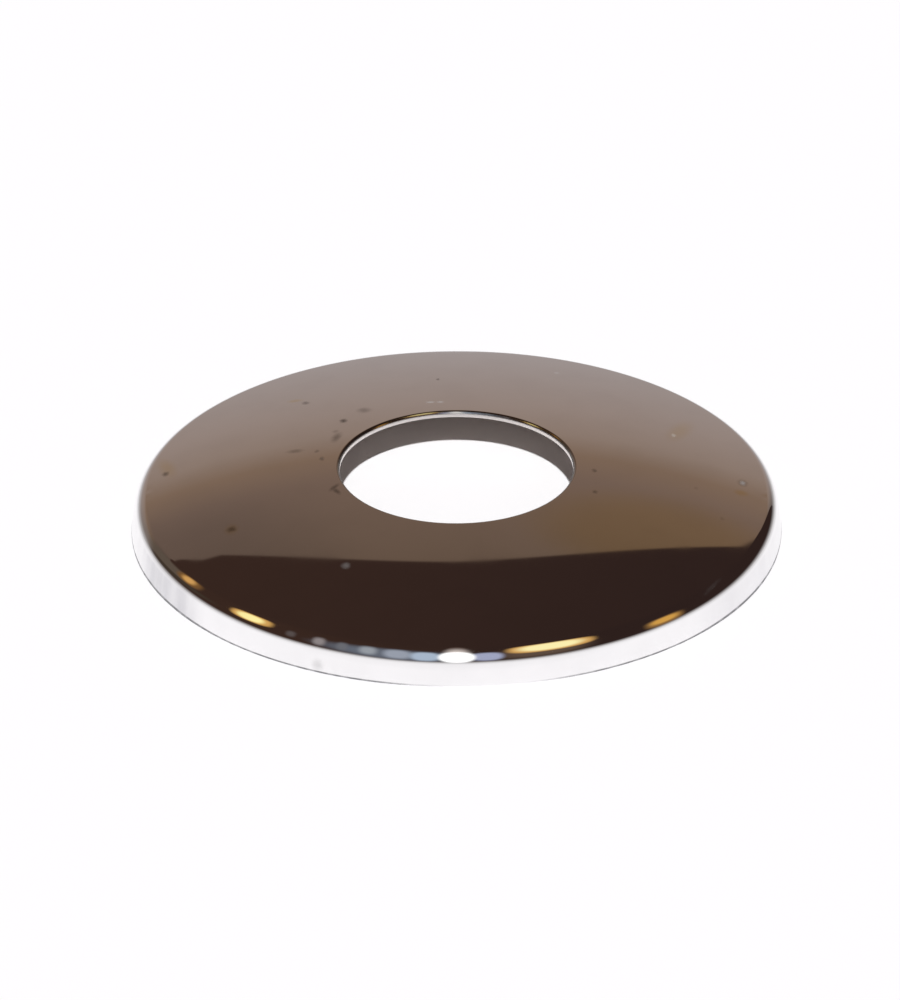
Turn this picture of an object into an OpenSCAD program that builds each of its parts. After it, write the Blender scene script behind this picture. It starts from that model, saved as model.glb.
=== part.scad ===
// Tap rosette: a round cover plate that hides the wall hole round a tap's pipe.
// One sheet of brass is pressed into a shallow dome, its hole is punched, its edge is
// rolled over into a short rim that flares to the wall, and the whole is polished and plated.
// The origin is at the centre of the rim's foot, and +Z runs along the axis, away from the wall.
// All sizes are in millimetres.

/* [Plate] */
// Outside diameter across the foot of the rim
outer_d = 60; // [50:0.5:75]
// Height of the domed face at the hole, before the hole's edge is rounded
crown_h = 6.35; // [5.5:0.05:9]
// Thickness of the sheet
sheet_t = 0.6; // [0.45:0.05:0.8]

/* [Rim] */
// Height of the shoulder where the dome and the rim would meet in a sharp edge
rim_h = 3.15; // [2.6:0.05:4.5]
// Outside radius of the roll that rounds the shoulder
roll_r = 1.5; // [1:0.05:2]
// Lean of the rim from upright, wider at the foot, in degrees
rim_lean = 8; // [2:0.5:12]
// Radius on both corners of the rim's foot
foot_r = 0.12; // [0.05:0.01:0.2]

/* [Hole] */
// Diameter of the punched hole
hole_d = 21.5; // [15:0.1:28]
// Radius on the upper corner of the hole, where the punch draws the sheet in
hole_top_r = 0.3; // [0.1:0.05:0.35]
// Radius on the lower corner of the hole, where the burr is taken off
hole_low_r = 0.05; // [0.03:0.01:0.1]

/* [Hidden] */

// Largest distance between an arc of the section and the chords that stand for it
chord_gap = 0.002;
// Sides of the revolved plate in the preview
turn_sides = 240;
// Turn angles of the section's straight faces: the foot faces down, the hole faces the axis
foot_turn = 180;
hole_turn = 270;

hole_r = hole_d / 2;

// Middle of the foot's outer corner, and the turn angle of the rim's outside
foot_mid = [outer_d / 2 - foot_r, foot_r];
rim_turn = 90 - rim_lean;
rim_normal = [sin(rim_turn), cos(rim_turn)];

// Sharp edge where the dome and the rim would meet
shoulder = [
    foot_mid.x + (foot_r - (rim_h - foot_mid.y) * rim_normal.y) / rim_normal.x,
    rim_h
];

// The dome is part of a sphere through the shoulder and the hole's sharp upper edge
dome_mid = [
    0,
    (pow(shoulder.x, 2) - pow(hole_r, 2) + pow(rim_h, 2) - pow(crown_h, 2))
        / (2 * (rim_h - crown_h))
];
dome_r = norm(shoulder - dome_mid);

// The roll touches the dome and the rim from inside, so its middle lies one radius from both
roll_turn = asin(
    ((foot_mid - dome_mid) * rim_normal + foot_r - roll_r) / (dome_r - roll_r)
) - rim_lean;
roll_mid = dome_mid + (dome_r - roll_r) * [sin(roll_turn), cos(roll_turn)];

// The hole's upper corner touches the dome from inside, its lower corner the underside from below
hole_top_turn = asin((hole_r + hole_top_r) / (dome_r - hole_top_r));
hole_top_mid = dome_mid + (dome_r - hole_top_r) * [sin(hole_top_turn), cos(hole_top_turn)];
under_r = dome_r - sheet_t;
hole_low_turn = asin((hole_r + hole_low_r) / (under_r + hole_low_r));
hole_low_mid = dome_mid + (under_r + hole_low_r) * [sin(hole_low_turn), cos(hole_low_turn)];

// The foot's inner corner has the same radius and sits one sheet in from the rim's outside
foot_inner_mid = foot_mid - [(sheet_t - 2 * foot_r) / rim_normal.x, 0];

// Number of chords that keep an arc within the chord gap
function chords(radius, sweep) =
    max(2, ceil(abs(sweep) / (2 * acos(1 - chord_gap / radius))));

// Points of an arc. Turn 0 is straight up, 90 is outwards, 180 is down and 270 is towards the axis
function arc(mid, radius, from, to) =
    let (count = chords(radius, to - from))
    [for (i = [0:count])
        let (turn = from + (to - from) * i / count)
        mid + radius * [sin(turn), cos(turn)]];

// Half of the plate's section: over the top from the hole to the foot, and back underneath
function plate_section() = concat(
    arc(hole_top_mid, hole_top_r, hole_turn - 360, hole_top_turn),
    arc(dome_mid, dome_r, hole_top_turn, roll_turn),
    arc(roll_mid, roll_r, roll_turn, rim_turn),
    arc(foot_mid, foot_r, rim_turn, foot_turn),
    arc(foot_inner_mid, foot_r, foot_turn, foot_turn + rim_turn),
    arc(roll_mid, roll_r - sheet_t, rim_turn, roll_turn),
    arc(dome_mid, under_r, roll_turn, hole_low_turn),
    arc(hole_low_mid, hole_low_r, foot_turn + hole_low_turn, hole_turn)
);

module rosette() {
    color([0.78, 0.76, 0.74])
        rotate_extrude($fn = turn_sides)
            polygon(plate_section());
}

rosette();
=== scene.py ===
"""Looks of the tap rosette: a pressed, chrome plated cover plate on a pale studio floor.

The origin is the centre of the rim's foot and +Z runs along the axis of the hole, away from
the wall. Sizes of the plate are held in millimetres and turned to metres when a mesh is made.
"""

import logging
import math
from dataclasses import dataclass
from enum import Enum

import bmesh
import bpy
from mathutils import Matrix, Quaternion, Vector


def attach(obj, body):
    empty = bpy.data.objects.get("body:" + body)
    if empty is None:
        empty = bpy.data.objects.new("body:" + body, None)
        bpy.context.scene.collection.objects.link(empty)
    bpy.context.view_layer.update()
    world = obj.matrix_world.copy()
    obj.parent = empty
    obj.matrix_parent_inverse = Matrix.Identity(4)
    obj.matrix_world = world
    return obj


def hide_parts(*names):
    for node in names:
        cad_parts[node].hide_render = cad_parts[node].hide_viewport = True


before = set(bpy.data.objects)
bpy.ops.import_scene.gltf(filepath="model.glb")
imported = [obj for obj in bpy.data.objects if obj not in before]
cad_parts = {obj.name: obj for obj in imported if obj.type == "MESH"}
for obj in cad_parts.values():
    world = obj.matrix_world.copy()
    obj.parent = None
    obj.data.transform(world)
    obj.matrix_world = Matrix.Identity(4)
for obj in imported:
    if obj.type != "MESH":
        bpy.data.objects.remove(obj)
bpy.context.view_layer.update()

log = logging.getLogger("tap_rosette")

MM = 0.001  # metres in a millimetre

Colour = tuple[float, float, float]
Span = tuple[float, float]  # where a smooth change starts and where it ends
Socket = bpy.types.NodeSocket


def direction(azimuth: float, elevation: float) -> Vector:
    """Unit vector of a direction in the room.

    Args:
        azimuth: Degrees from +Y towards +X. The camera stands at 180.
        elevation: Degrees above the floor.

    Returns:
        The unit vector.
    """
    a, e = math.radians(azimuth), math.radians(elevation)
    return Vector((math.sin(a) * math.cos(e), math.cos(a) * math.cos(e), math.sin(e)))


def screen(red: float, green: float, blue: float) -> Colour:
    """Turns a colour as it shows on a screen into light.

    Args:
        red: Red from 0 to 255.
        green: Green from 0 to 255.
        blue: Blue from 0 to 255.

    Returns:
        The colour in linear light, 0 to 1.
    """

    def linear(value: float) -> float:
        """Undoes the screen's own curve for one channel."""
        part = value / 255
        return part / 12.92 if part <= 0.04045 else ((part + 0.055) / 1.055) ** 2.4

    return linear(red), linear(green), linear(blue)


class Bench:
    """A node tree with short calls for the nodes that the finishes and the room need."""

    def __init__(self, tree: bpy.types.NodeTree) -> None:
        """Empties the tree.

        Args:
            tree: The node tree of a material or of the world.
        """
        self.tree = tree
        tree.nodes.clear()

    def node(self, kind: str, **settings: object) -> bpy.types.Node:
        """Adds a node.

        Args:
            kind: Blender's name of the node type.
            **settings: Values of the node's own properties.

        Returns:
            The new node.
        """
        made = self.tree.nodes.new(kind)
        for name, value in settings.items():
            setattr(made, name, value)
        return made

    def feed(self, target: Socket, value: object) -> None:
        """Links a socket to the target, or sets the target's own value.

        Args:
            target: The input that is fed.
            value: An output socket, or a number, a vector or a colour.
        """
        if isinstance(value, bpy.types.NodeSocket):
            self.tree.links.new(value, target)
        else:
            target.default_value = value

    def math(self, operation: str, first: object, second: object = 0.0) -> Socket:
        """Works one sum on numbers.

        Args:
            operation: Blender's name of the sum.
            first: The first number or socket.
            second: The second number or socket.

        Returns:
            The result's socket.
        """
        made = self.node("ShaderNodeMath", operation=operation)
        self.feed(made.inputs[0], first)
        self.feed(made.inputs[1], second)
        return made.outputs[0]

    def vector(self, operation: str, first: object, second: object = (0, 0, 0)) -> Socket:
        """Works one sum on vectors.

        Args:
            operation: Blender's name of the sum.
            first: The first vector or socket.
            second: The second vector or socket.

        Returns:
            The result's socket, a number for a dot product or a length.
        """
        made = self.node("ShaderNodeVectorMath", operation=operation)
        self.feed(made.inputs[0], first)
        self.feed(made.inputs[1], second)
        is_number = operation in ("DOT_PRODUCT", "LENGTH", "DISTANCE")
        return made.outputs["Value" if is_number else "Vector"]

    def ramp(self, value: object, start: float, end: float, low: float = 0.0,
             high: float = 1.0) -> Socket:
        """Turns a number into another one, smoothly between two ends.

        Args:
            value: The number or socket that is read.
            start: Value at which the result is low.
            end: Value at which the result is high. It may be below start.
            low: Result at and before start.
            high: Result at and past end.

        Returns:
            The result's socket.
        """
        made = self.node("ShaderNodeMapRange", interpolation_type="SMOOTHSTEP")
        if start > end:
            start, end, low, high = end, start, high, low
        for name, part in (("Value", value), ("From Min", start), ("From Max", end),
                           ("To Min", low), ("To Max", high)):
            self.feed(made.inputs[name], part)
        return made.outputs["Result"]

    def blend(self, share: object, first: object, second: object, how: str = "MIX") -> Socket:
        """Blends two colours.

        Args:
            share: How much of the second colour, 0 to 1.
            first: The first colour or socket.
            second: The second colour or socket.
            how: Blender's name of the blend.

        Returns:
            The blended colour's socket.
        """
        made = self.node("ShaderNodeMix", data_type="RGBA", blend_type=how)
        self.feed(made.inputs[0], share)
        for socket, value in ((made.inputs[6], first), (made.inputs[7], second)):
            self.feed(socket, (*value, 1.0) if isinstance(value, tuple) else value)
        return made.outputs[2]

    def noise(self, where: Socket, scale: float, detail: float = 2.0) -> Socket:
        """Adds a noise pattern.

        Args:
            where: The place at which the pattern is read.
            scale: Grains for each unit of that place.
            detail: Octaves of finer grains.

        Returns:
            The pattern's value, 0 to 1.
        """
        made = self.node("ShaderNodeTexNoise")
        self.feed(made.inputs["Vector"], where)
        self.feed(made.inputs["Scale"], scale)
        self.feed(made.inputs["Detail"], detail)
        return made.outputs[0]


class Side(Enum):
    """Which face of the pressed sheet a stretch of the section belongs to."""

    SHOWN = 0
    HIDDEN = 1


@dataclass(frozen=True)
class Station:
    """One ring of the plate: where it runs, which way its surface faces, and its side."""

    radius: float
    height: float
    turn: float
    side: Side


@dataclass(frozen=True)
class Arc:
    """A round stretch of the section, in millimetres and degrees.

    Turn 0 faces up, 90 outwards, 180 down and 270 towards the axis.
    """

    middle: Vector
    radius: float
    start: float
    end: float
    steps: int
    side: Side
    hollow: bool = False

    def stations(self) -> list[Station]:
        """Rings along the arc.

        Returns:
            The rings from start to end, both ends included.
        """
        rings = []
        for step in range(self.steps + 1):
            turn = self.start + (self.end - self.start) * step / self.steps
            a = math.radians(turn)
            spot = self.middle + self.radius * Vector((math.sin(a), math.cos(a)))
            rings.append(Station(spot.x, spot.y, turn + 180 * self.hollow, self.side))
        return rings


@dataclass(frozen=True)
class PlateSection:
    """The section of the pressed sheet, in millimetres and degrees."""

    outer_d: float = 60.0
    crown_h: float = 6.35
    sheet_t: float = 0.6
    rim_h: float = 3.15
    roll_r: float = 1.5
    rim_lean: float = 8.0
    foot_r: float = 0.12
    hole_d: float = 21.5
    hole_top_r: float = 0.3
    hole_low_r: float = 0.05

    @staticmethod
    def facing(turn: float) -> Vector:
        """Unit vector, outwards and up, of a turn angle in degrees."""
        return Vector((math.sin(math.radians(turn)), math.cos(math.radians(turn))))

    def arcs(self) -> list[Arc]:
        """The section's arcs, over the top from the hole to the foot and back underneath.

        Returns:
            The arcs in order. Straight stretches lie between one arc's end and the next start.
        """
        hole_r = self.hole_d / 2
        rim_turn = 90 - self.rim_lean
        out = self.facing(rim_turn)
        foot = Vector((self.outer_d / 2 - self.foot_r, self.foot_r))
        edge_r = foot.x + (self.foot_r - (self.rim_h - foot.y) * out.y) / out.x
        centre_h = (edge_r**2 - hole_r**2 + self.rim_h**2 - self.crown_h**2) / (
            2 * (self.rim_h - self.crown_h)
        )
        centre = Vector((0.0, centre_h))
        dome_r = (Vector((edge_r, self.rim_h)) - centre).length
        under_r = dome_r - self.sheet_t
        reach = ((foot - centre).dot(out) + self.foot_r - self.roll_r) / (dome_r - self.roll_r)
        roll_turn = math.degrees(math.asin(reach)) - self.rim_lean
        roll = centre + (dome_r - self.roll_r) * self.facing(roll_turn)
        top_turn = math.degrees(math.asin((hole_r + self.hole_top_r) / (dome_r - self.hole_top_r)))
        top = centre + (dome_r - self.hole_top_r) * self.facing(top_turn)
        low_turn = math.degrees(math.asin((hole_r + self.hole_low_r) / (under_r + self.hole_low_r)))
        low = centre + (under_r + self.hole_low_r) * self.facing(low_turn)
        inner = foot - Vector(((self.sheet_t - 2 * self.foot_r) / out.x, 0.0))
        down, axis_turn = 180.0, 270.0
        shown, hidden = Side.SHOWN, Side.HIDDEN
        return [
            Arc(top, self.hole_top_r, axis_turn - 360, top_turn, 20, shown),
            Arc(centre, dome_r, top_turn, roll_turn, 28, shown),
            Arc(roll, self.roll_r, roll_turn, rim_turn, 28, shown),
            Arc(foot, self.foot_r, rim_turn, down, 8, shown),
            Arc(inner, self.foot_r, down, down + rim_turn, 8, hidden),
            Arc(roll, self.roll_r - self.sheet_t, rim_turn, roll_turn, 16, hidden, True),
            Arc(centre, under_r, roll_turn, low_turn, 14, hidden, True),
            Arc(low, self.hole_low_r, down + low_turn, axis_turn, 6, shown),
        ]

    def stations(self) -> list[Station]:
        """All the rings of the plate in order round the section."""
        return [ring for arc in self.arcs() for ring in arc.stations()]


class MarkKind(Enum):
    """What a small mark on the plating is."""

    PIT = "pit"
    DUST = "dust"
    SMEAR = "smear"


@dataclass(frozen=True)
class Mark:
    """One small mark on the plate, in millimetres and degrees.

    Seen from above it is length by width. A mark on the upright rim has its height and tallness.
    """

    kind: MarkKind
    x: float
    y: float
    length: float
    width: float
    turn: float = 0.0
    depth: float = 1.0
    height: float = 0.0
    tall: float = 200.0


@dataclass(frozen=True)
class PolishedPlate:
    """Bright chrome plate on the shown side, with a thin film of handling and small marks.

    Places are in millimetres from the axis and grains are for each millimetre. The foot's edge is
    dull and darkened almost all round by a painted contact shadow; the rim is darker in
    cloudy patches.
    """

    name: str = "bright_chrome_plate"
    colour: Colour = (0.945, 0.94, 0.945)
    gloss: float = 0.03
    film_shade: float = 0.97
    film_gloss: float = 0.05
    film_grain: float = 0.22
    film_spread: Span = (0.38, 0.72)
    cloud_tint: Colour = (0.73, 0.73, 0.75)
    cloud_grain: float = 0.7
    cloud_height_grain: float = 0.15
    cloud_spread: Span = (0.3, 0.7)
    cloud_least: float = 0.6
    cloud_left: Span = (-22.5, -25.5)
    cloud_left_end: Span = (-29.2, -27.5)
    cloud_left_end_share: float = 0.2
    cloud_right: Span = (20.0, 26.0)
    cloud_right_share: float = 0.4
    cloud_all_round: float = 0.06
    rim_top: Span = (2.7, 2.1)
    pit_colour: Colour = (0.06, 0.05, 0.045)
    dust_colour: Colour = (0.42, 0.40, 0.40)
    smear_colour: Colour = (0.92, 0.82, 0.60)
    # The next colour is a painted contact shadow along the foot.
    foot_shadow_colour: Colour = (0.26, 0.26, 0.27)
    # The next colour is painted shade on the hole's rounded edge, dimming its reflections.
    shaded_rounding_colour: Colour = (0.46, 0.44, 0.42)
    punched_colour: Colour = (0.97, 0.925, 0.90)
    mark_gloss: float = 0.45
    mark_fade: Span = (2.3, 0.2)
    mark_wobble: float = 0.3
    mark_wobble_grain: float = 3.0
    smear_gloss: float = 0.11
    rounded_gloss: float = 0.15
    hole_wall_r: float = 10.77
    hole_edge_r: float = 11.03
    hole_soft: float = 0.02
    # Reach of the painted contact shadow along the foot, and where it is left out in front.
    foot_shadow_height: float = 0.20
    foot_shadow_side_height: float = 0.30
    foot_shadow_sides: Span = (20.0, 26.0)
    foot_shadow_soft: float = 0.05
    foot_shadow_grain: float = 0.9
    foot_shadow_spread: Span = (0.35, 0.6)
    foot_shadow_least: float = 0.75
    unshadowed_middle: float = 2.5
    unshadowed_reach: Span = (11.5, 2.0)
    unshadowed_front: Span = (-20.0, -25.0)
    marks: tuple[Mark, ...] = (
        Mark(MarkKind.PIT, -14.1, 14.9, 0.46, 0.60, 20, 0.45),
        Mark(MarkKind.SMEAR, -15.1, 15.8, 0.9, 0.5, 0, 0.7),
        Mark(MarkKind.PIT, -8.6, 11.8, 0.85, 0.80, -40, 0.36),
        Mark(MarkKind.PIT, -10.5, 9.6, 0.44, 0.60, 0, 0.66),
        Mark(MarkKind.PIT, -11.1, 6.0, 0.55, 1.30, -15, 0.42),
        Mark(MarkKind.PIT, -11.2, 7.3, 0.40, 0.50, 0, 0.25),
        Mark(MarkKind.PIT, -14.9, 3.9, 0.95, 0.50, 0, 0.34),
        Mark(MarkKind.PIT, -12.9, 3.4, 0.30, 0.40, 0, 0.35),
        Mark(MarkKind.PIT, -12.4, 1.8, 0.30, 0.50, 0, 0.45),
        Mark(MarkKind.PIT, -11.2, -3.9, 0.90, 0.34, 60, 0.5),
        Mark(MarkKind.PIT, -11.0, -4.6, 0.90, 0.34, -60, 0.5),
        Mark(MarkKind.PIT, -26.9, 3.4, 0.40, 0.60, 0, 0.5),
        Mark(MarkKind.SMEAR, -26.8, 4.6, 0.9, 2.6, 15, 0.6),
        Mark(MarkKind.SMEAR, -20.5, -9.1, 0.8, 1.1, 0, 0.8),
        Mark(MarkKind.PIT, -20.5, -9.1, 0.55, 0.60, 0, 0.5),
        Mark(MarkKind.DUST, -10.0, -16.9, 0.50, 0.60, 0, 0.08),
        Mark(MarkKind.PIT, -1.7, 19.3, 0.24, 0.36, 0, 0.5),
        Mark(MarkKind.DUST, -2.4, 13.1, 0.5, 0.28, 0, 0.35),
        Mark(MarkKind.DUST, -1.5, 13.1, 0.4, 0.28, 0, 0.3),
        Mark(MarkKind.DUST, 20.2, 8.8, 0.26, 0.50, 0, 0.3),
        Mark(MarkKind.SMEAR, 20.8, 10.0, 1.2, 3.2, -20, 0.5),
        Mark(MarkKind.PIT, 26.4, 1.1, 0.60, 0.80, 0, 0.4),
        Mark(MarkKind.DUST, 26.4, 1.1, 0.34, 0.50, 0, 0.36),
        Mark(MarkKind.SMEAR, 26.2, -0.9, 0.8, 0.7, 0, 0.9),
        Mark(MarkKind.PIT, 12.7, -0.6, 0.30, 0.42, 0, 0.45),
        Mark(MarkKind.PIT, 12.7, -4.6, 0.30, 0.42, 0, 0.45),
        Mark(MarkKind.PIT, 22.0, -1.5, 0.24, 0.34, 0, 0.12),
        Mark(MarkKind.PIT, 24.3, -6.3, 0.26, 0.40, 0, 0.15),
        Mark(MarkKind.DUST, 23.1, -17.4, 0.22, 1.9, -30, 0.012),
        Mark(MarkKind.PIT, -12.4, -27.1, 0.70, 1.60, -24.6, 0.22, 0.75, 0.70),
        Mark(MarkKind.DUST, 9.5, 22.2, 0.3, 0.4, 0, 0.2),
    )

    def material(self) -> bpy.types.Material:
        """Makes the material.

        Returns:
            The material, read in object space so that it stays on the plate.
        """
        made = bpy.data.materials.new(self.name)
        made.use_nodes = True
        bench = Bench(made.node_tree)
        place = bench.node("ShaderNodeTexCoord").outputs["Object"]
        mm = bench.vector("MULTIPLY", place, (1 / MM,) * 3)
        film = bench.ramp(bench.noise(mm, self.film_grain, 5.0), *self.film_spread)
        gloss = bench.ramp(film, 0.0, 1.0, self.gloss, self.film_gloss)
        filmed = tuple(self.film_shade * c for c in self.colour)
        tint = bench.blend(film, self.colour, filmed)
        tint = self.cloud_rim(bench, mm, tint)
        tint, gloss = self.dull_hole(bench, mm, tint, gloss)
        ragged = self.ragged(bench, mm)
        # Painted contact shadow along the foot; the same mask dulls the plating there.
        dull = self.foot(bench, mm)
        tint = bench.blend(dull, tint, self.foot_shadow_colour)
        metal: Socket | float = 1.0
        for kind, colour, rough in (
            (MarkKind.SMEAR, self.smear_colour, self.smear_gloss),
            (MarkKind.PIT, self.pit_colour, self.mark_gloss),
            (MarkKind.DUST, self.dust_colour, self.mark_gloss),
        ):
            mask = self.spots(bench, ragged, kind)
            tint = bench.blend(mask, tint, colour)
            gloss = bench.math("MAXIMUM", gloss, bench.math("MULTIPLY", mask, rough))
            if kind is MarkKind.DUST:
                metal = bench.math("SUBTRACT", 1.0, mask)
        gloss = bench.math("MAXIMUM", gloss, bench.math("MULTIPLY", dull, self.mark_gloss))
        shader = bench.node("ShaderNodeBsdfPrincipled")
        bench.feed(shader.inputs["Metallic"], metal)
        bench.feed(shader.inputs["Base Color"], tint)
        bench.feed(shader.inputs["Roughness"], gloss)
        output = bench.node("ShaderNodeOutputMaterial")
        bench.feed(output.inputs["Surface"], shader.outputs[0])
        return made

    def cloud_rim(self, bench: Bench, mm: Socket, tint: Socket) -> Socket:
        """Darkens the rim in cloudy patches, most at the left and a little at the right.

        Args:
            bench: The material's nodes.
            mm: Position on the plate in millimetres.
            tint: Colour of the plating.

        Returns:
            The colour, clouded on the rim only.
        """
        parts = bench.node("ShaderNodeSeparateXYZ")
        bench.feed(parts.inputs[0], mm)
        x, _, height = parts.outputs
        upright = bench.vector("MULTIPLY", mm, (1.0, 1.0, self.cloud_height_grain))
        grain = bench.noise(upright, self.cloud_grain, 4.0)
        cloud = bench.ramp(grain, *self.cloud_spread, self.cloud_least, 1.0)
        end = bench.ramp(x, *self.cloud_left_end, self.cloud_left_end_share, 1.0)
        left = bench.math("MULTIPLY", bench.ramp(x, *self.cloud_left), end)
        right = bench.ramp(x, *self.cloud_right, 0.0, self.cloud_right_share)
        share = bench.math("ADD", bench.math("ADD", left, right), self.cloud_all_round)
        share = bench.math("MULTIPLY", share, cloud)
        low = bench.ramp(height, *self.rim_top)
        return bench.blend(bench.math("MULTIPLY", share, low), tint, self.cloud_tint, "MULTIPLY")

    def dull_hole(self, bench: Bench, mm: Socket, tint: Socket,
                  gloss: Socket) -> tuple[Socket, Socket]:
        """Darkens the hole's rounded edge with painted shade that dims what it mirrors, and dulls
        its punched wall.

        Args:
            bench: The material's nodes.
            mm: Position on the plate in millimetres.
            tint: Colour of the plating.
            gloss: Roughness of the plating.

        Returns:
            The colour and the roughness, changed at the hole only.
        """
        away = bench.vector("LENGTH", bench.vector("MULTIPLY", mm, (1.0, 1.0, 0.0)))
        # The rounded edge gets painted shade; the punched wall a duller finish.
        for radius, colour, rough in (
            (self.hole_edge_r, self.shaded_rounding_colour, self.rounded_gloss),
            (self.hole_wall_r, self.punched_colour, self.mark_gloss),
        ):
            near = bench.ramp(away, radius + self.hole_soft, radius - self.hole_soft)
            tint = bench.blend(near, tint, colour)
            gloss = bench.math("MAXIMUM", gloss, bench.math("MULTIPLY", near, rough))
        return tint, gloss

    def foot(self, bench: Bench, mm: Socket) -> Socket:
        """Mask of a painted contact shadow along the foot, also where the plating is dulled.
        The shadow is left out in front, where the lamp washes it out, and taller at the sides.

        Args:
            bench: The material's nodes.
            mm: Position on the plate in millimetres.

        Returns:
            The mask, 1 where the shadow is painted and the plating dulled.
        """
        parts = bench.node("ShaderNodeSeparateXYZ")
        bench.feed(parts.inputs[0], mm)
        x, y, height = parts.outputs
        side = bench.math("ABSOLUTE", x)
        reach = bench.ramp(side, *self.foot_shadow_sides, self.foot_shadow_height, self.foot_shadow_side_height)
        low = bench.ramp(bench.math("SUBTRACT", reach, height), -self.foot_shadow_soft, self.foot_shadow_soft)
        grain = bench.noise(mm, self.foot_shadow_grain)
        broken = bench.ramp(grain, *self.foot_shadow_spread, self.foot_shadow_least, 1.0)
        # No painted shadow in front, where the lamp washes the line out.
        aside = bench.math("ABSOLUTE", bench.math("SUBTRACT", x, self.unshadowed_middle))
        unshadowed = bench.math("MULTIPLY", bench.ramp(aside, *self.unshadowed_reach),
                          bench.ramp(y, *self.unshadowed_front))
        shadowed_share = bench.math("SUBTRACT", 1.0, unshadowed)
        return bench.math("MULTIPLY", low, bench.math("MULTIPLY", shadowed_share, broken))

    def ragged(self, bench: Bench, mm: Socket) -> Socket:
        """Position with a fine wobble, so that no mark has a drawn edge.

        Args:
            bench: The material's nodes.
            mm: Position on the plate in millimetres.

        Returns:
            The wobbled position in millimetres.
        """
        wobble = bench.node("ShaderNodeTexNoise")
        bench.feed(wobble.inputs["Vector"], mm)
        bench.feed(wobble.inputs["Scale"], self.mark_wobble_grain)
        shift = bench.vector("SUBTRACT", wobble.outputs["Color"], (0.5,) * 3)
        return bench.vector("ADD", mm, bench.vector("MULTIPLY", shift, (self.mark_wobble,) * 3))

    def spots(self, bench: Bench, place: Socket, kind: MarkKind) -> Socket:
        """The mask of all marks of a kind.

        Args:
            bench: The material's nodes.
            place: Position on the plate in millimetres, a little ragged.
            kind: Which marks.

        Returns:
            A mask, each mark's depth inside it and 0 outside.
        """
        mask: Socket | None = None
        for mark in (m for m in self.marks if m.kind is kind):
            local = bench.node("ShaderNodeMapping", vector_type="TEXTURE")
            bench.feed(local.inputs["Vector"], place)
            bench.feed(local.inputs["Location"], (mark.x, mark.y, mark.height))
            bench.feed(local.inputs["Rotation"], (0.0, 0.0, math.radians(mark.turn)))
            bench.feed(local.inputs["Scale"], (mark.length / 2, mark.width / 2, mark.tall / 2))
            away = bench.vector("LENGTH", local.outputs[0])
            spot = bench.ramp(away, *self.mark_fade, 0.0, mark.depth)
            mask = spot if mask is None else bench.math("MAXIMUM", mask, spot)
        return mask


@dataclass(frozen=True)
class PlainUnderside:
    """The hidden side: plated with the rest but left as pressed, dull and faintly ringed."""

    name: str = "plated_unpolished_underside"
    colour: Colour = (0.55, 0.48, 0.44)
    darker: float = 0.88
    gloss: float = 0.28
    dull: float = 0.42
    cloud_grain: float = 0.35
    cloud_spread: Span = (0.35, 0.7)
    ring_grain: float = 3.0
    ring_strength: float = 0.25
    ring_depth: float = 0.02

    def material(self) -> bpy.types.Material:
        """Makes the material.

        Returns:
            The material, read in object space.
        """
        made = bpy.data.materials.new(self.name)
        made.use_nodes = True
        bench = Bench(made.node_tree)
        place = bench.node("ShaderNodeTexCoord").outputs["Object"]
        mm = bench.vector("MULTIPLY", place, (1 / MM,) * 3)
        cloud = bench.ramp(bench.noise(mm, self.cloud_grain, 6.0), *self.cloud_spread)
        flat = bench.vector("MULTIPLY", mm, (1.0, 1.0, 0.0))
        ring = bench.node("ShaderNodeCombineXYZ")
        bench.feed(ring.inputs[0], bench.vector("LENGTH", flat))
        lines = bench.noise(ring.outputs[0], self.ring_grain, 3.0)
        shader = bench.node("ShaderNodeBsdfPrincipled")
        shader.inputs["Metallic"].default_value = 1.0
        bench.feed(shader.inputs["Roughness"], bench.ramp(cloud, 0.0, 1.0, self.gloss, self.dull))
        darker = tuple(self.darker * c for c in self.colour)
        bench.feed(shader.inputs["Base Color"], bench.blend(cloud, self.colour, darker))
        bump = bench.node("ShaderNodeBump")
        bench.feed(bump.inputs["Strength"], self.ring_strength)
        bench.feed(bump.inputs["Distance"], self.ring_depth * MM)
        bench.feed(bump.inputs["Height"], lines)
        bench.feed(shader.inputs["Normal"], bump.outputs[0])
        output = bench.node("ShaderNodeOutputMaterial")
        bench.feed(output.inputs["Surface"], shader.outputs[0])
        return made


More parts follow.
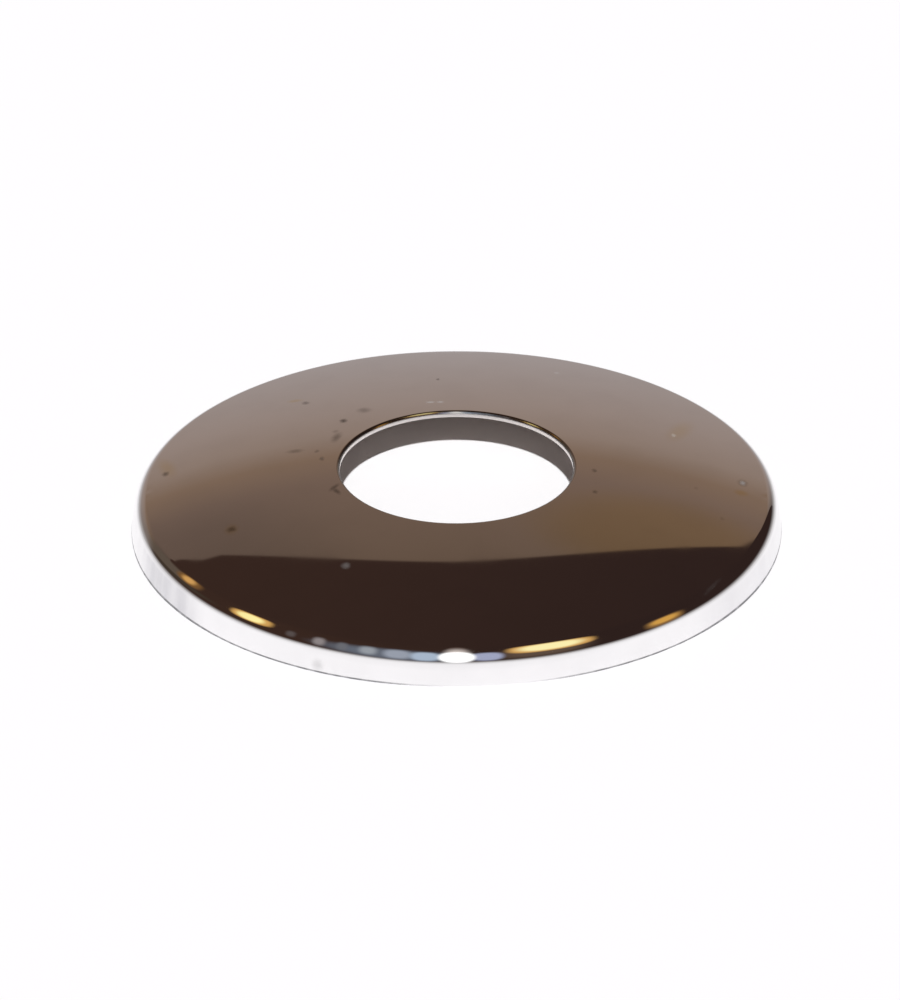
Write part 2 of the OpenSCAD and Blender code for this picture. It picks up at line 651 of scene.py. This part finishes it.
@dataclass
class Rosette:
    """The whole object: one round pressed sheet, turned from its section."""

    name: str = "pressed_plate"
    section: PlateSection = PlateSection()
    slices: int = 512
    shown_finish: PolishedPlate = PolishedPlate()
    hidden_finish: PlainUnderside = PlainUnderside()

    def build(self) -> bpy.types.Object:
        """Makes the plate and puts it in place of the frame's node.

        Returns:
            The plate's object.
        """
        plate = self.shape()
        self.dress(plate)
        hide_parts("rosette")
        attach(plate, "root")
        return plate

    def shape(self) -> bpy.types.Object:
        """Turns the section round the axis.

        Returns:
            A closed plate with exact surface normals.
        """
        rings = self.section.stations()
        work = bmesh.new()
        rows, normals = [], []
        for ring in rings:
            a = math.radians(ring.turn)
            row = []
            for cut in range(self.slices):
                around = 2 * math.pi * cut / self.slices
                c, s = math.cos(around), math.sin(around)
                row.append(work.verts.new((ring.radius * c * MM, ring.radius * s * MM,
                                           ring.height * MM)))
                normals.append((math.sin(a) * c, math.sin(a) * s, math.cos(a)))
            rows.append(row)
        for index, row in enumerate(rows):
            below = rows[(index + 1) % len(rows)]
            side = rings[index].side
            for cut in range(self.slices):
                after = (cut + 1) % self.slices
                face = work.faces.new((row[cut], below[cut], below[after], row[after]))
                face.smooth = True
                face.material_index = side.value
        mesh = bpy.data.meshes.new(self.name)
        work.to_mesh(mesh)
        work.free()
        mesh.normals_split_custom_set_from_vertices(normals)
        plate = bpy.data.objects.new(self.name, mesh)
        bpy.context.scene.collection.objects.link(plate)
        return plate

    def dress(self, plate: bpy.types.Object) -> None:
        """Gives the plate its two finishes, the shown side's first.

        Args:
            plate: The plate's object.
        """
        plate.data.materials.append(self.shown_finish.material())
        plate.data.materials.append(self.hidden_finish.material())


@dataclass(frozen=True)
class Floor:
    """A large plain white floor, seen from above only.

    It shows plain white all over; only bright metal mirrors it, with a painted fall-off of light
    that darkens it with distance.
    """

    name: str = "studio_floor"
    half_side: float = 6.0
    colour: Colour = (0.995, 0.985, 0.998)
    full_radius: float = 0.036
    far_share: float = 0.66

    def build(self) -> bpy.types.Object:
        """Makes the floor.

        Returns:
            The floor's object.
        """
        h = self.half_side
        mesh = bpy.data.meshes.new(self.name)
        mesh.from_pydata([(-h, -h, 0), (h, -h, 0), (h, h, 0), (-h, h, 0)], [], [(0, 1, 2, 3)])
        floor = bpy.data.objects.new(self.name, mesh)
        bpy.context.scene.collection.objects.link(floor)
        made = bpy.data.materials.new(self.name)
        made.use_nodes = True
        bench = Bench(made.node_tree)
        matt = bench.node("ShaderNodeBsdfDiffuse")
        bench.feed(matt.inputs["Color"], self.fall_off(bench))
        clear = bench.node("ShaderNodeBsdfTransparent")
        sides = bench.node("ShaderNodeMixShader")
        bench.feed(sides.inputs[0], bench.node("ShaderNodeNewGeometry").outputs["Backfacing"])
        bench.feed(sides.inputs[1], matt.outputs[0])
        bench.feed(sides.inputs[2], clear.outputs[0])
        output = bench.node("ShaderNodeOutputMaterial")
        bench.feed(output.inputs["Surface"], sides.outputs[0])
        mesh.materials.append(made)
        return floor

    def fall_off(self, bench: Bench) -> Socket:
        """The floor's colour: plain to the eye, and in a mirror a painted fall-off of light,
        darker with distance.

        Args:
            bench: The material's nodes.

        Returns:
            The colour's socket.
        """
        away = bench.vector("LENGTH", bench.node("ShaderNodeTexCoord").outputs["Object"])
        near = bench.math("DIVIDE", self.full_radius, bench.math("MAXIMUM", away, self.full_radius))
        lit = bench.math("MULTIPLY", bench.math("POWER", near, 3.0), 1 - self.far_share)
        share = bench.math("ADD", lit, self.far_share)
        fainter = bench.blend(share, (0.0, 0.0, 0.0), self.colour)
        mirrored = bench.node("ShaderNodeLightPath").outputs["Is Glossy Ray"]
        return bench.blend(mirrored, self.colour, fainter)


@dataclass(frozen=True)
class RoomLight:
    """A light or patch of the room, placed by the part of the shoulder that mirrors it.

    Angles are in degrees, as a viewer in front and above finds them on the plate: turn 0 is the
    part that faces the viewer and grows to the right, slope 0 faces up and 90 sideways. The
    shade is the colour on screen, 0 to 255. Corner 2 gives an oval, and more a squarer patch.
    """

    turn: float
    half_turn: float
    slope: float
    half_slope: float
    shade: Colour
    soft: float = 0.5
    corner: float = 2.5
    gain: float = 1.0

    def mask(self, bench: Bench, turn: Socket, slope: Socket) -> Socket:
        """Mask of the light.

        Args:
            bench: The world's nodes.
            turn: Turn of the surface that mirrors the direction.
            slope: Slope of that surface.

        Returns:
            The mask's socket, 1 in the middle of the light.
        """
        parts: list[Socket] = []
        for angle, middle, half in ((turn, self.turn, self.half_turn),
                                    (slope, self.slope, self.half_slope)):
            away = bench.math("ABSOLUTE", bench.math("SUBTRACT", angle, middle))
            parts.append(bench.math("POWER", bench.math("DIVIDE", away, half), self.corner))
        reach = bench.math("POWER", bench.math("ADD", *parts), 1 / self.corner)
        return bench.ramp(reach, 1 + self.soft / 2, 1 - self.soft / 2)


@dataclass(frozen=True)
class WarmLamp:
    """A filament lamp: a pale core in an amber glow."""

    glow: RoomLight
    core: RoomLight


@dataclass(frozen=True)
class Shade:
    """Colour of the board at one elevation in degrees, on screen from 0 to 255."""

    elevation: float
    colour: Colour


@dataclass(frozen=True)
class Board:
    """The large board behind the plate, lit from below by the floor.

    Across is the sideways reach and up the height, both at unit distance behind the plate. Each
    bend of the right edge is the height where it starts and how much more the edge leans below.
    """

    shades: tuple[Shade, ...] = (
        Shade(0, (157, 147, 145)),
        Shade(16, (146, 130, 122)),
        Shade(21.5, (138, 120, 109)),
        Shade(25.5, (123, 101, 85)),
        Shade(30, (113, 93, 81)),
        Shade(45, (99, 81, 68)),
    )
    top: float = 1.0
    top_bow: float = 2.06
    top_fall: float = 0.14
    bow_end: float = 0.30
    left_drop: float = 0.037
    left_drop_reach: Span = (-0.322, -0.352)
    left_from: float = 0.345
    left_rise: float = 0.26
    right: float = 0.338
    right_bends: tuple[tuple[float, float], ...] = ((0.727, 0.03), (0.661, 1.21), (0.619, -0.43))
    left: float = -1.25
    left_soft: float = 0.12
    warm_spot: tuple[float, float] = (14.0, 37.0)
    warm_reach: Span = (0.989, 0.9988)
    warm_tint: Colour = (1.0, 0.92, 0.70)
    upper_left_across: Span = (-0.08, -0.30)
    upper_left_height: Span = (0.41, 0.56)
    upper_left_tint: Colour = (0.78, 0.79, 0.82)
    left_reach: Span = (-0.35, -0.85)
    left_tint: Colour = (0.66, 0.68, 0.68)
    right_reach: Span = (0.30, 0.66)
    right_tint: Colour = (0.33, 0.33, 0.33)
    edge: float = 0.006

    def colour(self, bench: Bench, room: "Room", ray: Socket, across: Socket,
               height: Socket) -> Socket:
        """Colour of the board in each direction.

        Args:
            bench: The world's nodes.
            room: The room, which turns shades into light.
            ray: The direction's unit vector.
            across: Sideways reach at unit distance.
            height: Sine of the elevation.

        Returns:
            The colour's socket.
        """
        ramp = bench.node("ShaderNodeValToRGB")
        bench.feed(ramp.inputs[0], height)
        stops = ramp.color_ramp.elements
        while len(stops) < len(self.shades):
            stops.new(1.0)
        for stop, shade in zip(stops, self.shades):
            stop.position = math.sin(math.radians(shade.elevation))
            stop.color = (*room.light(shade.colour), 1.0)
        near = bench.vector("DOT_PRODUCT", ray, tuple(direction(*self.warm_spot)))
        warm = bench.ramp(near, *self.warm_reach)
        seen = bench.blend(warm, ramp.outputs[0], self.warm_tint, "MULTIPLY")
        upper = bench.math("MULTIPLY", bench.ramp(across, *self.upper_left_across),
                           bench.ramp(height, *self.upper_left_height))
        for share, tint in ((upper, self.upper_left_tint),
                            (bench.ramp(across, *self.left_reach), self.left_tint),
                            (bench.ramp(across, *self.right_reach), self.right_tint)):
            seen = bench.blend(share, seen, tint, "MULTIPLY")
        return seen

    def shape(self, bench: Bench, across: Socket, up: Socket) -> Socket:
        """Mask of the board: a bowed top, a right edge that leans out below, a blurred left one.

        Args:
            bench: The world's nodes.
            across: Sideways reach at unit distance.
            up: Height at unit distance.

        Returns:
            The mask's socket, 1 on the board.
        """
        held = bench.math("MAXIMUM", across, -self.bow_end)
        squared = bench.math("MULTIPLY", held, held)
        bow = bench.math("MULTIPLY", squared, self.top_bow)
        fall = bench.math("MULTIPLY", bench.math("MAXIMUM", across, 0.0), self.top_fall)
        drop = bench.ramp(across, *self.left_drop_reach, 0.0, self.left_drop)
        lower = bench.math("ADD", bench.math("ADD", bow, drop), fall)
        leftward = bench.math("SUBTRACT", bench.math("MULTIPLY", across, -1.0), self.left_from)
        rise = bench.math("MULTIPLY", bench.math("MAXIMUM", leftward, 0.0), self.left_rise)
        top = bench.math("SUBTRACT", bench.math("ADD", rise, self.top), lower)
        inside = bench.ramp(bench.math("SUBTRACT", top, up), -self.edge, self.edge)
        limit: Socket | float = self.right
        for start, lean in self.right_bends:
            below = bench.math("MAXIMUM", bench.math("SUBTRACT", start, up), 0.0)
            limit = bench.math("ADD", limit, bench.math("MULTIPLY", below, lean))
        within = bench.ramp(bench.math("SUBTRACT", limit, across), -self.edge, self.edge)
        left = bench.ramp(across, self.left - self.left_soft, self.left + self.left_soft)
        return bench.math("MULTIPLY", inside, bench.math("MULTIPLY", within, left))


@dataclass(frozen=True)
class Room:
    """What bright metal mirrors above the floor: a dim brown room, a board and some lights."""

    plating: Colour = PolishedPlate.colour
    viewer_elevation: float = 28.6
    dim_left: Colour = (56, 39, 32)
    dim_right: Colour = (45, 32, 29)
    dim_reach: Span = (-0.5, 0.4)
    haze: Colour = (187, 183, 183)
    haze_height: Span = (0.235, -0.03)
    haze_aside: Span = (0.12, 0.45)
    behind: Span = (0.0, 0.02)
    nearest: float = 0.001
    board: Board = Board()
    patches: tuple[RoomLight, ...] = (
        RoomLight(-11, 13, 56, 16, (98, 103, 114), 0.9, 2.0),
        RoomLight(15.5, 8, 54, 15, (92, 75, 64), 1.0, 2.5),
        RoomLight(-65, 9, 39, 13, (88, 76, 66), 0.7, 2.6),
        RoomLight(-61, 11, 51, 5, (62, 52, 43), 0.9, 2.5),
    )
    lamps: tuple[WarmLamp, ...] = (
        WarmLamp(RoomLight(17.3, 8.1, 41, 13.5, (208, 160, 92), 0.3, 2.8),
                 RoomLight(17.2, 5.9, 40, 11.0, (254, 240, 176), 0.6, 2.3)),
        WarmLamp(RoomLight(-40.0, 4.7, 42, 12.5, (206, 158, 88), 0.4, 2.8),
                 RoomLight(-40.2, 3.0, 42, 10.0, (255, 240, 164), 0.6, 2.3)),
        WarmLamp(RoomLight(40.1, 4.1, 55, 12.0, (140, 104, 60), 0.6, 2.8),
                 RoomLight(40.1, 3.0, 53, 7.5, (208, 155, 74), 0.8, 2.3)),
        WarmLamp(RoomLight(-57.7, 3.7, 33, 12.0, (116, 82, 46), 0.6, 2.6),
                 RoomLight(-57.9, 1.9, 32, 9.0, (204, 154, 88), 1.0, 2.2)),
    )
    flash: tuple[RoomLight, ...] = (
        RoomLight(-10.6, 2.4, 54, 14, (152, 158, 171), 0.8),
        RoomLight(-16.0, 1.5, 52, 12, (150, 155, 162), 1.1),
        RoomLight(-20.8, 1.0, 52, 12, (106, 107, 113), 1.1),
        RoomLight(-25.3, 1.1, 51, 12, (142, 134, 134), 1.1),
        RoomLight(-31.0, 0.9, 50, 9, (86, 77, 75), 1.1),
        RoomLight(-5.6, 2.6, 56, 14, (168, 183, 202), 0.6),
        RoomLight(5.4, 2.8, 56, 13, (160, 165, 192), 0.6),
        RoomLight(0, 1.8, 30, 12.0, (80, 63, 56), 0.5, 2.0),
        RoomLight(0, 1.8, 43, 14, (215, 203, 197), 1.6, 2.0),
        RoomLight(0, 3.2, 56.5, 18, (255, 255, 255), 0.4, 2.2, 1.3),
    )

    def light(self, shade: Colour, gain: float = 1.0) -> Colour:
        """Light that shows as a shade once the plating has mirrored it.

        Args:
            shade: Colour on screen, 0 to 255.
            gain: How many times brighter than that the light is.

        Returns:
            The light.
        """
        return tuple(gain * c / p for c, p in zip(screen(*shade), self.plating))

    def colour(self, bench: Bench, ray: Socket) -> Socket:
        """Colour of the room in each direction.

        Args:
            bench: The world's nodes.
            ray: The direction's unit vector.

        Returns:
            The colour's socket.
        """
        parts = bench.node("ShaderNodeSeparateXYZ")
        bench.feed(parts.inputs[0], ray)
        x, y, z = parts.outputs
        ahead = bench.math("MAXIMUM", y, self.nearest)
        across = bench.math("DIVIDE", x, ahead)
        up = bench.math("DIVIDE", z, ahead)
        seen = bench.blend(bench.ramp(x, *self.dim_reach), self.light(self.dim_left),
                           self.light(self.dim_right))
        shape = bench.math("MULTIPLY", self.board.shape(bench, across, up),
                           bench.ramp(y, *self.behind))
        seen = bench.blend(shape, seen, self.board.colour(bench, self, ray, across, z))
        aside = bench.math("ADD", bench.math("ABSOLUTE", x),
                           bench.math("MAXIMUM", bench.math("MULTIPLY", y, -1.0), 0.0))
        low = bench.math("MULTIPLY", bench.ramp(z, *self.haze_height),
                         bench.ramp(aside, *self.haze_aside))
        seen = bench.blend(low, seen, self.light(self.haze))
        turn, slope = self.mirror_angles(bench, ray)
        warm = [light for lamp in self.lamps for light in (lamp.glow, lamp.core)]
        for light in (*self.patches, *warm, *self.flash):
            shine = self.light(light.shade, light.gain)
            seen = bench.blend(light.mask(bench, turn, slope), seen, shine)
        return seen

    def mirror_angles(self, bench: Bench, ray: Socket) -> tuple[Socket, Socket]:
        """Turn and slope of the surface that shows a direction to the viewer in front.

        Args:
            bench: The world's nodes.
            ray: The direction's unit vector.

        Returns:
            The turn and the slope in degrees.
        """
        viewer = direction(180.0, self.viewer_elevation)
        facing = bench.vector("NORMALIZE", bench.vector("ADD", ray, tuple(viewer)))
        parts = bench.node("ShaderNodeSeparateXYZ")
        bench.feed(parts.inputs[0], facing)
        x, y, z = parts.outputs
        turn = bench.math("ARCTAN2", x, bench.math("MULTIPLY", y, -1.0))
        slope = bench.math("ARCCOSINE", z)
        return tuple(bench.math("DEGREES", angle) for angle in (turn, slope))


@dataclass(frozen=True)
class Studio:
    """The light: a lamp above the camera and soft white light from all round."""

    lamp_azimuth: float = 180.0
    lamp_elevation: float = 42.6
    lamp_angle: float = 1.3
    lamp_strength: float = 4.12
    lamp_colour: Colour = (0.985, 0.997, 1.0)
    soft_light: Colour = (0.138, 0.118, 0.117)
    room: Room = Room()

    def build(self) -> None:
        """Makes the lamp and the world."""
        lamp = bpy.data.lights.new("studio_lamp", "SUN")
        lamp.energy = self.lamp_strength
        lamp.angle = math.radians(self.lamp_angle)
        lamp.color = self.lamp_colour
        holder = bpy.data.objects.new("studio_lamp", lamp)
        holder.visible_glossy = False
        bpy.context.scene.collection.objects.link(holder)
        towards = direction(self.lamp_azimuth, self.lamp_elevation)
        holder.location = towards
        holder.rotation_mode = "QUATERNION"
        holder.rotation_quaternion = (-towards).to_track_quat("-Z", "Y")
        world = bpy.data.worlds.new("studio")
        world.use_nodes = True
        bpy.context.scene.world = world
        bench = Bench(world.node_tree)
        ray = bench.node("ShaderNodeTexCoord").outputs["Generated"]
        path = bench.node("ShaderNodeLightPath")
        first = bench.math("LESS_THAN", path.outputs["Diffuse Depth"], 0.5)
        mirrored = bench.math("MULTIPLY", path.outputs["Is Glossy Ray"], first)
        light = bench.blend(mirrored, self.soft_light, self.room.colour(bench, ray))
        seen = bench.blend(path.outputs["Is Camera Ray"], light, (1.0, 1.0, 1.0))
        back = bench.node("ShaderNodeBackground")
        bench.feed(back.inputs["Color"], seen)
        output = bench.node("ShaderNodeOutputWorld")
        bench.feed(output.inputs["Surface"], back.outputs[0])


@dataclass(frozen=True)
class PhotoCamera:
    """The camera at the photograph's place. Lengths in metres, angles in degrees."""

    distance: float = 0.775
    elevation: float = 28.597
    pan: float = 0.0446
    tilt: float = 0.1811
    roll: float = 0.1282
    lens: float = 302.14
    sensor: float = 36.0

    def build(self) -> bpy.types.Object:
        """Makes the camera.

        Returns:
            The camera's object.
        """
        data = bpy.data.cameras.new("photo_camera")
        data.sensor_fit = "AUTO"
        data.sensor_width = self.sensor
        data.lens = self.lens
        data.clip_start, data.clip_end = 0.01, 50.0
        camera = bpy.data.objects.new("photo_camera", data)
        bpy.context.scene.collection.objects.link(camera)
        place = direction(180.0, self.elevation) * self.distance
        ahead, right = -place.normalized(), Vector((1.0, 0.0, 0.0))
        up = right.cross(ahead)
        for axis, angle in ((up, self.pan), (None, self.tilt), (ahead, self.roll)):
            turn = Quaternion(right if axis is None else axis, math.radians(angle))
            ahead, right, up = turn @ ahead, turn @ right, turn @ up
        camera.location = place
        camera.rotation_mode = "QUATERNION"
        columns = (right, up, -ahead)
        rows = [[column[i] for column in columns] for i in range(3)]
        camera.rotation_quaternion = Matrix(rows).to_quaternion()
        bpy.context.scene.camera = camera
        return camera


def main() -> None:
    """Builds the plate, the stage and the camera, and reports each."""
    logging.basicConfig(level=logging.INFO, format="%(name)s: %(message)s")
    plate = Rosette().build()
    log.info("%s: %d faces", plate.name, len(plate.data.polygons))
    floor = Floor()
    ground = floor.build()
    log.info("%s: %.1f m square", ground.name, 2 * floor.half_side)
    Studio().build()
    log.info("studio light made")
    camera = PhotoCamera().build()
    log.info("%s: %.3f m away", camera.name, camera.location.length)
    bpy.context.scene.view_settings.view_transform = "Standard"


if __name__ == "__main__":
    main()
